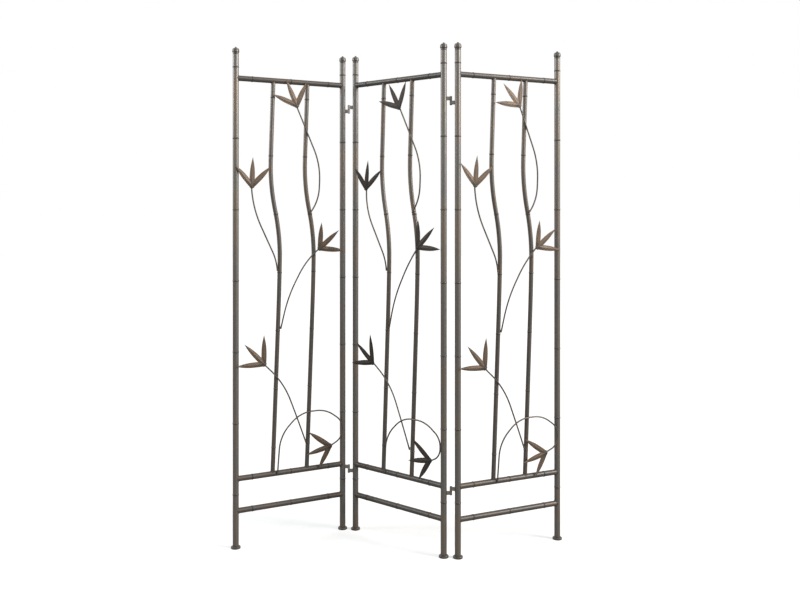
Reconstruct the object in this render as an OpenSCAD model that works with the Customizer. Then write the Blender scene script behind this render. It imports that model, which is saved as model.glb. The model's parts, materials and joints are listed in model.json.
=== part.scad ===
// Folding screen of three iron panels, made to look like bamboo with tendrils and leaves.
// A panel is drawn upright in its own frame: x runs right from the left post's axis, y is 0 on
// the post axes and negative towards the front, and z is up from the floor.

/* [Screen] */
// Height from the floor to the top of the buttons on the posts
screen_h = 1829; // [1500:1:2250]
// Width of one panel between its post axes
panel_w = 423; // [350:1:520]
// Turn of the middle panel on the floor
middle_yaw = -39.1; // [-60:0.1:0]
// Opening angle between the left and the middle panel
left_opening = 113.7; // [0:0.1:180]
// Opening angle between the middle and the right panel
right_opening = 116; // [0:0.1:180]

/* [Posts] */
// Outer diameter of a post
post_d = 22; // [18:0.5:28]
// Wall of a post
post_wall = 1.5; // [1:0.1:2.5]
// Number of bamboo rings on a post
post_rings = 7; // [3:1:9]
// Height of the lowest post ring above the floor
post_ring_low = 195; // [150:1:220]
// Distance of the highest post ring below the top
post_ring_top = 74; // [60:1:90]
// Width of a foot's rim around the post
foot_rim = 6.5; // [2:0.5:10]
// Height of a foot
foot_h = 8; // [5:0.5:20]
// Rounding of a foot's upper edge
foot_edge = 2; // [1:0.5:3]
// Thickness of metal under the tube in a foot
foot_floor = 3; // [2:0.5:4]
// Width of a cap's rim around the post
cap_rim = 2; // [1.5:0.5:6]
// Height of a cap below its button
cap_h = 16; // [12:0.5:24]
// Rounding of a cap's upper edge
cap_edge = 6; // [1:0.5:6]
// Thickness of metal over the tube in a cap
cap_roof = 4; // [3:0.5:8]
// Radius of the round button on a cap
button_r = 5; // [3:0.5:8]

/* [Rails] */
// Outer diameter of a rail
rail_d = 20; // [16:0.5:22]
// Wall of a rail
rail_wall = 1.2; // [1:0.1:2]
// Distance of the top rail's axis below the top of the screen
top_rail_drop = 114; // [100:1:150]
// Height of the upper foot rail's axis above the floor
upper_foot_rail_z = 252; // [235:1:320]
// Height of the lower foot rail's axis above the floor
lower_foot_rail_z = 135; // [60:1:170]
// Distance of the outer rings on a rail from the post axes
rail_ring_x = 61.5; // [40:0.5:90]

/* [Stalks] */
// Outer diameter of a stalk
stalk_d = 16; // [13:0.5:18]
// Wall of a stalk
stalk_wall = 1.2; // [1:0.1:2]
// Distance of the left stalk's foot from the left post
left_stalk_x = 142; // [120:1:160]
// Distance between the two stalks
stalk_gap = 135; // [110:1:165]
// Number of bamboo rings on a stalk, at least seven for the tendrils
stalk_rings = 7; // [7:1:9]
// Height of the lowest stalk ring above the upper foot rail
stalk_ring_low = 98; // [80:1:120]
// Distance of the highest stalk ring below the top rail
stalk_ring_top = 63; // [50:1:90]

/* [Rings] */
// Width of a bamboo ring
ring_w = 5; // [3:0.5:8]
// Height of a bamboo ring above the tube
ring_proud = 1; // [0.4:0.05:1.2]

/* [Tendrils] */
// Diameter of the tendril wire
wire_d = 5.4; // [4:0.1:7]
// Distance of the top tendril's tip below the top rail
top_tip_drop = 102; // [80:1:120]
// Distance of the shoulder tendril's tip below the sixth ring
shoulder_tip_drop = 123; // [100:1:140]
// Height of the waist tendril's tip above the fourth ring
waist_tip_rise = 87; // [60:1:110]
// Height of the knee tendril's tip above the second ring
knee_tip_rise = 90; // [60:1:110]
// Height of the arch tendril's tip above the upper foot rail
arch_tip_rise = 83; // [76:1:95]

/* [Leaves] */
// Thickness of the leaf sheet
leaf_t = 1.5; // [1:0.1:2]
// Width of a blade
blade_w = 20; // [14:0.5:24]
// Distance from a sprig's foot to the fork of its blades
fork_rise = 8; // [5:0.5:12]
// Radius of a sprig's foot
sprig_foot_r = 6; // [4:0.5:8]

/* [Hinges] */
// Diameter of a hinge pin
pin_d = 5; // [3:0.5:8]
// Radial running clearance of a pin in its eye
pin_clearance = 0.05; // [0.02:0.01:0.1]
// Wall of a hinge knuckle around its bore
knuckle_wall = 1.95; // [1.5:0.05:4]
// Height of a hinge knuckle
knuckle_h = 14.6; // [10:0.1:18]
// Gap between the two knuckles of a hinge
knuckle_gap = 0.4; // [0.2:0.1:1]
// Step from a knuckle's end to the edge of its arm
arm_step = 0.3; // [0:0.1:3]
// Thickness of a hinge arm
arm_t = 5; // [3:0.5:8]
// Rim of a pin's head around the pin
pin_head_rim = 1.5; // [1:0.5:3]
// Height of a pin's head
pin_head_h = 1.5; // [1:0.5:4]
// Distance of the upper hinge below the top rail
upper_hinge_drop = 92.5; // [80:0.5:110]
// Distance of the lower hinge below the upper foot rail
lower_hinge_drop = 17; // [12:0.5:24]
// Least gap between two feet or two leaves when the panels are folded shut, halved
shut_gap = 0.6; // [0.5:0.1:3]
// Gap between two feet when the panels stand in line, halved
line_gap = 0.75; // [0.5:0.05:6]

/* [Hidden] */
fit_gap = 0.1;
// How far a bore's cut runs past the tube's ends
cut_past = 1;
$fn = 48;
panel_names = ["left_panel", "middle_panel", "right_panel"];
tendril_names = ["top", "shoulder", "waist", "knee", "arch"];
piece_names = concat(
    ["left_post", "right_post", "post_caps", "post_feet", "top_rail", "foot_rails"],
    ["left_stalk", "right_stalk", "hinge_eyes"],
    [for (t = tendril_names) str(t, "_tendril")],
    [for (t = tendril_names) str(t, "_leaves")]);

iron = [0.42, 0.40, 0.37];
leaf_iron = [0.40, 0.33, 0.27];
steel = [0.50, 0.49, 0.46];

post_r = post_d / 2;
rail_r = rail_d / 2;
stalk_r = stalk_d / 2;
wire_r = wire_d / 2;
socket_r = post_r + fit_gap / 2;
foot_r = post_r + foot_rim;
cap_r = post_r + cap_rim;
cap_top = screen_h - button_r;
top_rail_z = screen_h - top_rail_drop;
stalk_len = top_rail_z - upper_foot_rail_z;

// Shift of both stalks on the left, middle and right panel: they are bent and set by hand
stalk_shift = [-2, 0, 3];
// Bends of a stalk, as a shift to the right and a share of its length from the foot up
stalk_bends = [[0, 0], [7, 0.117], [26, 0.464], [30, 0.603], [-10, 0.738], [3, 1]];

// Stalk that each of the first four tendrils grows on, and its ring, counted from the foot
tendril_stalk = [1, 0, 0, 1];
tendril_ring = [4, 3, 2, 0];
// Side of the stalk that it starts on: -1 is its left edge, 0 its front and 1 its right edge
tendril_side = [-0.1, -0.93, 0.93, -0.88];
// Stalk that is nearest to its tip
tip_stalk = [1, 0, 1, 0];
// Its two bends, as a share of the tendril's rise and a shift to the right: the first of the
// foot of the stalk that it grows on, and the second of the foot of the stalk near its tip
tendril_bends = [
    [[45, 0.115], [51, 0.47]],
    [[14, 0.13], [-77, 0.75]],
    [[59, 0.4], [-6, 0.845]],
    [[-36, 0.28], [41, 0.77]]];
// Start and bends of the arch tendril: the first three are counted right of the left stalk's
// place without its shift, the others left of the right post, all with their height above
// the upper foot rail
arch_left_bends = [[13, -2], [24, 141], [104, 219]];
arch_right_bends = [[75, 220], [7, 170], [7, 105]];
// Distance from the right post's axis at which the arch passes in front of the post
arch_pass_x = 7;
// Share of their tips' rises at which the waist and knee tendrils pass the other stalk
waist_cross = 0.7;
knee_cross = 0.6;
// Shift of each tendril's tip on the left, middle and right panel, counted as its last bend
// is, and its shift upwards
tendril_tips = [
    [[-42, 6], [-45, -8], [-28, -3]],
    [[-84, 2], [-76, -3], [-83, 3]],
    [[42, -5], [35, 5], [40, 4]],
    [[-33, 3], [-35, -4], [-40, 6]],
    [[52, -2], [43, 4], [56, 1]]];

// Turn of each sprig's middle blade on the left, middle and right panel
sprig_turn = [[114, 118, 132], [88, 84, 86], [41, 44, 40], [134, 140, 131], [193, 190, 195]];
// Turn of the side blades from the middle one, and the lengths of the three blades
sprig_spread = [[45, -48], [42, -43], [45, -47], [47, -44], [47, -49]];
sprig_lengths = [[101, 109, 98], [97, 113, 103], [98, 112, 102], [106, 116, 107], [93, 108, 107]];
// Steps along each side of a blade's outline
blade_steps = 12;
// Shares of a blade's length at which it is widest and of its width at its foot
blade_widest = 0.3;
blade_foot = 0.9;
// How full a blade stays towards its point
blade_taper = 1.3;

// Share of a run of wire or tube that its bends may take up
bend_share = 0.9;
// Length of the plug that joins a run to a bend, and how far it stands proud
plug_len = 2;
plug_proud = 0.04;

function unit(v) = v / norm(v);
function heading(v) = atan2(v.y, v.x);
function turn_at(p, i) =
    let (d = heading(p[i + 1] - p[i]) - heading(p[i] - p[i - 1])) d - 360 * round(d / 360);
function trim_at(p, i) =
    let (before = norm(p[i] - p[i - 1]) * (i == 1 ? 2 : 1),
         after = norm(p[i + 1] - p[i]) * (i == len(p) - 2 ? 2 : 1))
    bend_share * min(before, after) / 2;
function bend_r(p, i) = trim_at(p, i) / tan(abs(turn_at(p, i)) / 2);
function bend_start(p, i) = p[i] - trim_at(p, i) * unit(p[i] - p[i - 1]);
function bend_end(p, i) = p[i] + trim_at(p, i) * unit(p[i + 1] - p[i]);
function bend_centre(p, i) =
    let (u = unit(p[i] - p[i - 1]))
    bend_start(p, i) + sign(turn_at(p, i)) * bend_r(p, i) * [-u.y, u.x];
function run_start(p, i) = i == 0 ? p[0] : bend_end(p, i);
function run_end(p, i) = i == len(p) - 2 ? p[i + 1] : bend_start(p, i + 1);

// Sideways place of a rising path at a height
function x_at(p, z) =
    let (on_bends = [for (i = [1:len(p) - 2])
            if (z >= bend_start(p, i).y && z <= bend_end(p, i).y)
                let (c = bend_centre(p, i), h = z - c.y)
                c.x + sign(turn_at(p, i)) * sqrt(pow(bend_r(p, i), 2) - h * h)],
         on_runs = [for (i = [0:len(p) - 2])
            let (a = run_start(p, i), b = run_end(p, i))
            if (z >= a.y && z <= b.y) a.x + (b.x - a.x) * (z - a.y) / (b.y - a.y)])
    concat(on_bends, on_runs)[0];

function post_ring_z(i) =
    post_ring_low + i * (screen_h - post_ring_top - post_ring_low) / (post_rings - 1);
function stalk_ring_z(i) =
    upper_foot_rail_z + stalk_ring_low
    + i * (stalk_len - stalk_ring_low - stalk_ring_top) / (stalk_rings - 1);
function stalk_x(i, k) = left_stalk_x + stalk_shift[i] + k * stalk_gap;
// A stalk's path from its own foot, and on its panel
stalk_shape = [for (b = stalk_bends) [b.x, upper_foot_rail_z + b.y * stalk_len]];
function stalk_path(i, k) = [for (b = stalk_shape) [stalk_x(i, k) + b.x, b.y]];

// Distance of a wire's axis from a tube's axis where the two touch
stalk_reach = stalk_r + wire_r + fit_gap;
post_reach = post_r + wire_r + fit_gap;
rail_reach = rail_r + wire_r + fit_gap;

function root_z(t) = stalk_ring_z(tendril_ring[t]) + ring_w / 2 + wire_r + fit_gap;
tip_z = [top_rail_z - top_tip_drop, stalk_ring_z(5) - shoulder_tip_drop,
         stalk_ring_z(3) + waist_tip_rise, stalk_ring_z(1) + knee_tip_rise,
         upper_foot_rail_z + arch_tip_rise];
function tip(i, t) =
    let (shift = tendril_tips[t][i])
    [t == 4 ? panel_w - shift.x : stalk_x(i, tip_stalk[t]) + shift.x, tip_z[t] + shift.y];
function arch_path(i) = concat(
    [for (b = arch_left_bends) [left_stalk_x + b.x, upper_foot_rail_z + b.y]],
    [for (b = arch_right_bends) [panel_w - b.x, upper_foot_rail_z + b.y]],
    [tip(i, 4)]);
function stalk_tendril_path(i, t) =
    let (own = tendril_stalk[t], z = root_z(t), rise = tip_z[t] - z, bends = tendril_bends[t])
    [[x_at(stalk_path(i, own), z) + tendril_side[t] * stalk_reach, z],
     [stalk_x(i, own) + bends[0].x, z + bends[0].y * rise],
     [stalk_x(i, tip_stalk[t]) + bends[1].x, z + bends[1].y * rise],
     tip(i, t)];
function tendril_path(i, t) = t == 4 ? arch_path(i) : stalk_tendril_path(i, t);
function root_x(i, t) = tendril_path(i, t)[0].x;

// How far a tendril's foot stands in front of the axes, from where it touches its tube
function root_reach(t) = t == 4 ? rail_reach : stalk_reach * sqrt(1 - pow(tendril_side[t], 2));
// The place further along where a tendril's distance in front of the axes is set
waist_cross_z = stalk_ring_z(3) + waist_cross * waist_tip_rise;
knee_cross_z = stalk_ring_z(1) + knee_cross * knee_tip_rise;
function second_x(i, t) =
    [stalk_x(i, 1), tip(i, 1).x, x_at(stalk_path(i, 1), waist_cross_z),
     x_at(stalk_path(i, 0), knee_cross_z), panel_w - arch_pass_x][t];
second_reach = [root_reach(0), stalk_reach, stalk_reach, stalk_reach,
                sqrt(pow(post_reach, 2) - pow(arch_pass_x, 2))];
function lean(i, t) =
    t == 0 ? 0 : -atan((second_reach[t] - root_reach(t)) / (second_x(i, t) - root_x(i, t)));
function tip_at(i, t) =
    let (run = tip(i, t).x - root_x(i, t))
    [root_x(i, t) + run * cos(lean(i, t)), run * sin(lean(i, t)) - root_reach(t), tip(i, t).y];
// Distance of a leaf sheet's back in front of the axes
function leaf_back(i, t) = max(wire_r - tip_at(i, t).y, post_r + ring_proud) + fit_gap;
leaf_front = max([for (i = [0:2], t = [0:4]) leaf_back(i, t) + leaf_t]);

// A hinge pin's axis, outward from the post's axis and away from the panel's plane
pin_out = foot_r + line_gap;
pin_off = max(foot_r, leaf_front) + shut_gap;
arm_len = norm([pin_out, pin_off]);
arm_h = knuckle_h - 2 * arm_step;
bore_d = pin_d + 2 * pin_clearance;
knuckle_d = bore_d + 2 * knuckle_wall;
pin_head_d = pin_d + 2 * pin_head_rim;
knuckle_pitch = knuckle_h + knuckle_gap;
hinge_z = [upper_foot_rail_z - lower_hinge_drop, top_rail_z - upper_hinge_drop];

// Places of the panels on the floor, before they are centred
function turned(v, a) = [v.x * cos(a) - v.y * sin(a), v.x * sin(a) + v.y * cos(a)];
yaw = [middle_yaw + 180 - left_opening, middle_yaw, middle_yaw + 180 - right_opening];
left_pin = turned([-pin_out, -pin_off], middle_yaw);
right_pin = turned([panel_w + pin_out, pin_off], middle_yaw);
rough = [left_pin - turned([panel_w + pin_out, -pin_off], yaw[0]), [0, 0],
         right_pin - turned([-pin_out, pin_off], yaw[2])];
post_spots = [for (i = [0:2], x = [0, panel_w]) rough[i] + turned([x, 0], yaw[i])];
function middle(list) = (min(list) + max(list)) / 2;
centre = [middle([for (s = post_spots) s.x]), middle([for (s = post_spots) s.y])];
place = [for (r = rough) r - centre];
pins = [left_pin - centre, right_pin - centre];

module in_panel(i) {
    translate([place[i].x, place[i].y, 0])
        rotate([0, 0, yaw[i]])
            children();
}

// Turns a drawing in x and y upright, so that its y is up and its z is towards the front
module upright() {
    rotate([90, 0, 0])
        children();
}

// Swelling around a tube on the z axis
module ring(r) {
    bead_r = (ring_w * ring_w / 4 + ring_proud * ring_proud) / (2 * ring_proud);
    rotate_extrude()
        intersection() {
            translate([r + ring_proud - bead_r, 0])
                circle(r = bead_r);
            translate([r - ring_proud, -ring_w])
                square([3 * ring_proud, 2 * ring_w]);
        }
}

module section(r, wall) {
    difference() {
        circle(r = r);
        if (wall > 0)
            circle(r = r - wall);
    }
}

// Rod or tube along a path in the xy plane, bent round an arc at each inner point. Runs and
// arcs stop short of each other in a plug, a hair wider than the rod, that joins them.
module bent_rod(p, r, wall = 0) {
    last = len(p) - 2;
    for (i = [0:last]) {
        u = unit(run_end(p, i) - run_start(p, i));
        a = run_start(p, i) + (i == 0 ? 0 : plug_len / 4) * u;
        b = run_end(p, i) - (i == last ? 0 : plug_len / 4) * u;
        translate([a.x, a.y, 0])
            rotate([0, 0, heading(u)])
                rotate([0, 90, 0])
                    linear_extrude(norm(b - a))
                        section(r, wall);
    }
    for (i = [1:last]) {
        c = bend_centre(p, i);
        before = heading(p[i] - p[i - 1]);
        after = heading(p[i + 1] - p[i]);
        short = atan(plug_len / 4 / bend_r(p, i));
        from = turn_at(p, i) > 0 ? before - 90 : after + 90;
        translate([c.x, c.y, 0])
            rotate([0, 0, from + short])
                rotate_extrude(angle = abs(turn_at(p, i)) - 2 * short, $fn = 360)
                    translate([bend_r(p, i), 0])
                        section(r, wall, $fn = 32);
        rod_plug(bend_start(p, i), before, r);
        rod_plug(bend_end(p, i), after, r);
    }
}

module rod_plug(at, direction, r) {
    translate([at.x, at.y, 0])
        rotate([0, 0, direction])
            translate([-plug_len / 2, 0, 0])
                along_x(plug_len, r + plug_proud);
}

module along_x(length, r) {
    rotate([0, 90, 0])
        cylinder(r = r, h = length);
}

module post(x) {
    color(iron)
        translate([x, 0, 0])
            difference() {
                union() {
                    translate([0, 0, foot_floor])
                        cylinder(r = post_r, h = cap_top - cap_roof - foot_floor);
                    for (i = [0:post_rings - 1])
                        translate([0, 0, post_ring_z(i)])
                            ring(post_r);
                }
                cylinder(r = post_r - post_wall, h = screen_h);
            }
}

// Turned disc with a round upper edge
module turned_disc(r, h, edge) {
    rotate_extrude()
        union() {
            square([r - edge, h]);
            square([r, h - edge]);
            translate([r - edge, h - edge])
                circle(r = edge);
        }
}

module post_feet() {
    color(iron)
        for (x = [0, panel_w])
            translate([x, 0, 0])
                difference() {
                    turned_disc(foot_r, foot_h, foot_edge);
                    translate([0, 0, foot_floor])
                        cylinder(r = socket_r, h = foot_h);
                }
}

module post_caps() {
    color(iron)
        for (x = [0, panel_w])
            translate([x, 0, cap_top])
                difference() {
                    union() {
                        translate([0, 0, -cap_h])
                            turned_disc(cap_r, cap_h, cap_edge);
                        sphere(r = button_r);
                    }
                    translate([0, 0, -cap_roof - cap_h])
                        cylinder(r = socket_r, h = cap_h);
                }
}

module rail(z) {
    difference() {
        translate([0, 0, z]) {
            difference() {
                union() {
                    along_x(panel_w, rail_r);
                    for (x = [rail_ring_x, panel_w / 2, panel_w - rail_ring_x])
                        translate([x, 0, 0])
                            rotate([0, 90, 0])
                                ring(rail_r);
                }
                translate([-cut_past, 0, 0])
                    along_x(panel_w + 2 * cut_past, rail_r - rail_wall);
            }
        }
        for (x = [0, panel_w])
            translate([x, 0, z - rail_d])
                cylinder(r = post_r, h = 2 * rail_d);
    }
}

module top_rail() {
    color(iron)
        rail(top_rail_z);
}

module foot_rails() {
    color(iron) {
        rail(upper_foot_rail_z);
        rail(lower_foot_rail_z);
    }
}

module stalk() {
    color(iron)
        difference() {
            union() {
                upright()
                    bent_rod(stalk_shape, stalk_r, stalk_wall);
                for (j = [0:stalk_rings - 1]) {
                    z = stalk_ring_z(j);
                    lean_here = atan((x_at(stalk_shape, z + 1) - x_at(stalk_shape, z - 1)) / 2);
                    translate([x_at(stalk_shape, z), 0, z])
                        rotate([0, lean_here, 0])
                            difference() {
                                ring(stalk_r);
                                translate([0, 0, -ring_w])
                                    cylinder(r = stalk_r - stalk_wall / 2, h = 2 * ring_w);
                            }
                }
            }
            for (z = [upper_foot_rail_z, top_rail_z])
                translate([-stalk_gap / 2, 0, z])
                    along_x(stalk_gap, rail_r);
        }
}

module stalk_on(i, k) {
    in_panel(i)
        translate([stalk_x(i, k), 0, 0])
            stalk();
}

module tendril(i, t) {
    path = tendril_path(i, t);
    color(iron)
        translate([path[0].x, -root_reach(t), 0])
            rotate([0, 0, lean(i, t)])
                translate([-path[0].x, 0, 0])
                    upright()
                        bent_rod(path, wire_r);
}

function blade_half(s) = blade_w / 2 * (s < blade_widest
    ? blade_foot + (1 - blade_foot) * sin(90 * s / blade_widest)
    : cos(90 * pow((s - blade_widest) / (1 - blade_widest), blade_taper)));

module blade(length) {
    right = [for (j = [0:blade_steps - 1])
        let (s = j / blade_steps) [length * s, -blade_half(s)]];
    left = [for (j = [blade_steps - 1:-1:0])
        let (s = j / blade_steps) [length * s, blade_half(s)]];
    polygon(concat(right, [[length, 0]], left));
}

// Three blades on a foot, with a dab of weld behind it where the sheet stands off the wire
module leaf_sprig(i, t) {
    at = tip_at(i, t);
    dab_h = leaf_back(i, t) - (wire_r - at.y) - fit_gap;
    color(leaf_iron)
        translate([at.x, -leaf_back(i, t), at.z])
            upright() {
                if (dab_h > fit_gap)
                    translate([0, 0, -dab_h])
                        cylinder(r = wire_r, h = dab_h + leaf_t / 2);
                rotate([0, 0, sprig_turn[t][i]])
                    linear_extrude(leaf_t)
                        union() {
                            translate([sprig_foot_r / 2, 0])
                                circle(r = sprig_foot_r);
                            blade(sprig_lengths[t][1]);
                            for (side = [0, 1])
                                translate([fork_rise, 0])
                                    rotate(sprig_spread[t][side])
                                        blade(sprig_lengths[t][side * 2]);
                        }
            }
}

// Knuckle on an arm, welded to a post: side is -1 left of the post and 1 right of it, and
// fold is -1 for a pin in front of the panel and 1 for one behind it
module hinge_eye(side, fold, z) {
    post_at = side < 0 ? 0 : panel_w;
    color(steel)
        translate([post_at, 0, z])
            rotate([0, 0, atan2(fold * pin_off, side * pin_out)])
                difference() {
                    union() {
                        translate([arm_len, 0, -knuckle_h / 2])
                            cylinder(d = knuckle_d, h = knuckle_h);
                        translate([0, -arm_t / 2, -arm_h / 2])
                            cube([arm_len, arm_t, arm_h]);
                    }
                    translate([arm_len, 0, -knuckle_h])
                        cylinder(d = bore_d, h = 2 * knuckle_h);
                    translate([0, 0, -knuckle_h])
                        cylinder(r = post_r, h = 2 * knuckle_h);
                }
}

// The middle panel's knuckle lies over its neighbour's at the top and under it at the foot
module hinge_eyes(i) {
    for (level = [0, 1]) {
        over = level == 1 ? 1 : -1;
        shift = (i == 1 ? over : -over) * knuckle_pitch / 2;
        if (i < 2)
            hinge_eye(i == 0 ? 1 : -1, -1, hinge_z[level] + shift);
        if (i > 0)
            hinge_eye(i == 2 ? -1 : 1, 1, hinge_z[level] + shift);
    }
}

// Pin through two knuckles, its first head on the middle panel's knuckle and its second head
// a running gap away from the neighbour's
module hinge_pin(level) {
    own = level == 1 ? 1 : -1;
    reach = knuckle_gap / 2 + knuckle_h;
    mirror([0, 0, own > 0 ? 0 : 1])
        translate([0, 0, -reach - knuckle_gap]) {
            cylinder(d = pin_d, h = 2 * reach + knuckle_gap);
            translate([0, 0, -pin_head_h])
                cylinder(d = pin_head_d, h = pin_head_h);
            translate([0, 0, 2 * reach + knuckle_gap])
                cylinder(d = pin_head_d, h = pin_head_h);
        }
}

module hinge_pins() {
    color(steel)
        for (p = pins, level = [0, 1])
            translate([p.x, p.y, hinge_z[level]])
                hinge_pin(level);
}

for (i = [0:2]) {
    owner = panel_names[i];
    in_panel(i) post(0);
    in_panel(i) post(panel_w);
    in_panel(i) post_caps();
    in_panel(i) post_feet();
    in_panel(i) top_rail();
    in_panel(i) foot_rails();
    stalk_on(i, 0);
    stalk_on(i, 1);
    in_panel(i) hinge_eyes(i);
    for (t = [0:4]) {
        growth = str(owner, "_", tendril_names[t]);
        in_panel(i) tendril(i, t);
        in_panel(i) leaf_sprig(i, t);
    }
}
hinge_pins();
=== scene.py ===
# %% [markdown]
# # A folding screen of iron made to look like bamboo
#
# The real screen is three frames of thin iron tube. Each tube has raised rings, as a bamboo
# cane has knots, and wire tendrils with sheet-iron leaves grow on the two inner canes. The
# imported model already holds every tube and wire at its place, so this lesson dresses them:
# it forms the leaves, turns the caps and feet, forges the hinges, lays the weld beads and
# mixes the old brown finish.
#
# Everything is in metres in the model's own frame. A panel is drawn in its own coordinates
# first: x runs right from its left post, y is minus towards the front, z is up.

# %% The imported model
import json
import math
import random

import bmesh
import bpy
from mathutils import Matrix, Vector


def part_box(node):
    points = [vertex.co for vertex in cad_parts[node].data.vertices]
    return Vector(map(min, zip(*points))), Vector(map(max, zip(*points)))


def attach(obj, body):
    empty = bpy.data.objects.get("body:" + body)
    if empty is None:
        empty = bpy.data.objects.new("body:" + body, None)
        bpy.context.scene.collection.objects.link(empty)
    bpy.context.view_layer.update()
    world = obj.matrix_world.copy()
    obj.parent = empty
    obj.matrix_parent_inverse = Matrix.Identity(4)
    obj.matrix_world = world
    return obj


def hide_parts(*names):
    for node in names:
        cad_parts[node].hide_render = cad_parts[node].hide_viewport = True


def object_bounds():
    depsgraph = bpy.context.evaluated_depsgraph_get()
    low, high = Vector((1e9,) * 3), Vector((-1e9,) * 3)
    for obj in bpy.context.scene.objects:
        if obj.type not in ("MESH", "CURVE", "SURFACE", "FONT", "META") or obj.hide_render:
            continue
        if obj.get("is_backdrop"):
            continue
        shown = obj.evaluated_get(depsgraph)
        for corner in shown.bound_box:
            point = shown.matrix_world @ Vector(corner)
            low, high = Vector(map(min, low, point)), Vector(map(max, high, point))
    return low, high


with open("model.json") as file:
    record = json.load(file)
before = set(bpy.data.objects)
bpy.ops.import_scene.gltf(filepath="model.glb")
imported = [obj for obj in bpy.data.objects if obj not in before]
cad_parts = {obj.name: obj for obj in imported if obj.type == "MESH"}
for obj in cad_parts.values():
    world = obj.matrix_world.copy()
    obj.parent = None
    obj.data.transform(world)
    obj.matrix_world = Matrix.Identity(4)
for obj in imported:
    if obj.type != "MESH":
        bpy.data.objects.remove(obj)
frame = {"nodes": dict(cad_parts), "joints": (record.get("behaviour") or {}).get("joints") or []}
cad_low, cad_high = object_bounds()
mm = 0.001
panels = ["left_panel", "middle_panel", "right_panel"]
print("nodes", len(frame["nodes"]), "screen height", round(cad_high.z, 3))

# %% [markdown]
# ## The camera
# The photograph is taken from straight in front, at about two thirds of the screen's
# height. All posts stay upright in it, so the camera is level, and a vertical shift lowers
# the frame until the screen lies in its middle.

# %% Camera
photo_wide, focal_length, shift_down = 800, 860.9, 88.88  # in pixels of the photograph
camera_at, camera_turn = (0.0188, -3.1927, 1.2293), math.radians(0.252)
scene = bpy.context.scene
camera_data = bpy.data.cameras.new("camera")
camera = bpy.data.objects.new("camera", camera_data)
scene.collection.objects.link(camera)
camera_data.sensor_width = 36
camera_data.lens = focal_length / photo_wide * camera_data.sensor_width
camera_data.shift_y = -shift_down / photo_wide
camera.location = camera_at
camera.rotation_euler = (math.pi / 2, 0, camera_turn)
scene.camera = camera
print("lens", round(camera_data.lens, 2), "mm")

# %% [markdown]
# ## Helpers for nodes
# The world, the floor and the finishes are all made of nodes. One helper adds a node with
# its settings and inputs, and the others are short names for the kinds that are used most.

# %% Node helpers
def feed(tree, node, inputs):
    """Links or sets a node's inputs, by name or number, to sockets or plain values."""
    for name, value in dict(inputs).items():
        socket = node.inputs[name]
        if isinstance(value, bpy.types.NodeSocket):
            tree.links.new(value, socket)
        elif socket.type == "RGBA":
            socket.default_value = (*value, 1)
        else:
            socket.default_value = value


def add_node(tree, kind, inputs=(), **settings):
    """Adds a shader node with its settings and feeds its inputs."""
    node = tree.nodes.new("ShaderNode" + kind)
    for name, value in settings.items():
        setattr(node, name, value)
    feed(tree, node, inputs)
    return node


def math_node(tree, operation, *values, clamp=False):
    node = add_node(tree, "Math", enumerate(values), operation=operation, use_clamp=clamp)
    return node.outputs[0]


def times(tree, first, second):
    return math_node(tree, "MULTIPLY", first, second)


def ramp(tree, value, low, high, start=0, end=1):
    """start at low, end at high, and a smooth change between; low may be above high."""
    return add_node(tree, "MapRange", {"Value": value, "From Min": low, "From Max": high,
                                       "To Min": start, "To Max": end},
                    interpolation_type="SMOOTHSTEP").outputs["Result"]


def mixed(tree, share, first, second):
    """Mixes two colours by a share from 0 to 1."""
    return add_node(tree, "Mix", {0: share, 6: first, 7: second}, data_type="RGBA").outputs[2]


def noise(tree, vector, scale, detail, rough):
    return add_node(tree, "TexNoise", {"Vector": vector, "Scale": scale, "Detail": detail,
                                       "Roughness": rough}).outputs["Fac"]


def new_finish(name):
    """A new material, its node tree and its Principled shader."""
    finish = bpy.data.materials.new(name)
    finish.use_nodes = True
    return finish, finish.node_tree, finish.node_tree.nodes["Principled BSDF"]


print("helpers for nodes are ready")

# %% [markdown]
# ## The studio
# The screen stands in a white studio. The world is white to the camera and to reflections,
# and darker as a lamp, so that the tubes keep their form. A strong, slightly warm soft box
# stands high on the right and a weak, cool one on the left: the outer panels face the strong
# one, and the middle panel's leaves turn away from it; their finish is also painted darker,
# as painted shade. A small, plain one hangs in front of the top.

# %% World
lamp_colour, lamp_strength = (1.0, 0.99, 0.97), 0.42
scene.view_settings.view_transform = "Standard"
world = bpy.data.worlds.new("white_studio")
scene.world = world
world.use_nodes = True
tree = world.node_tree
tree.nodes.clear()
ray = add_node(tree, "LightPath").outputs
seen = math_node(tree, "MAXIMUM", ray["Is Camera Ray"], ray["Is Glossy Ray"])
seen_through = math_node(tree, "MAXIMUM", seen, ray["Is Transmission Ray"])
as_lamp = add_node(tree, "Background", {"Color": lamp_colour, "Strength": lamp_strength})
as_seen = add_node(tree, "Background", {"Color": (1, 1, 1), "Strength": 1})
either = add_node(tree, "MixShader",
                  {0: seen_through, 1: as_lamp.outputs[0], 2: as_seen.outputs[0]})
add_node(tree, "OutputWorld", {"Surface": either.outputs[0]})
print("world nodes", len(tree.nodes))

# %% Lamps
def soft_box(name, at, towards, wide, tall, power, colour):
    """A rectangular lamp at a place, turned towards a point."""
    data = bpy.data.lights.new(name, "AREA")
    data.shape = "RECTANGLE"
    data.size, data.size_y = wide, tall
    data.energy = power
    data.color = colour
    lamp = bpy.data.objects.new(name, data)
    scene.collection.objects.link(lamp)
    lamp.location = at
    lamp.rotation_euler = (Vector(towards) - Vector(at)).to_track_quat("-Z", "Y").to_euler()


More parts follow.
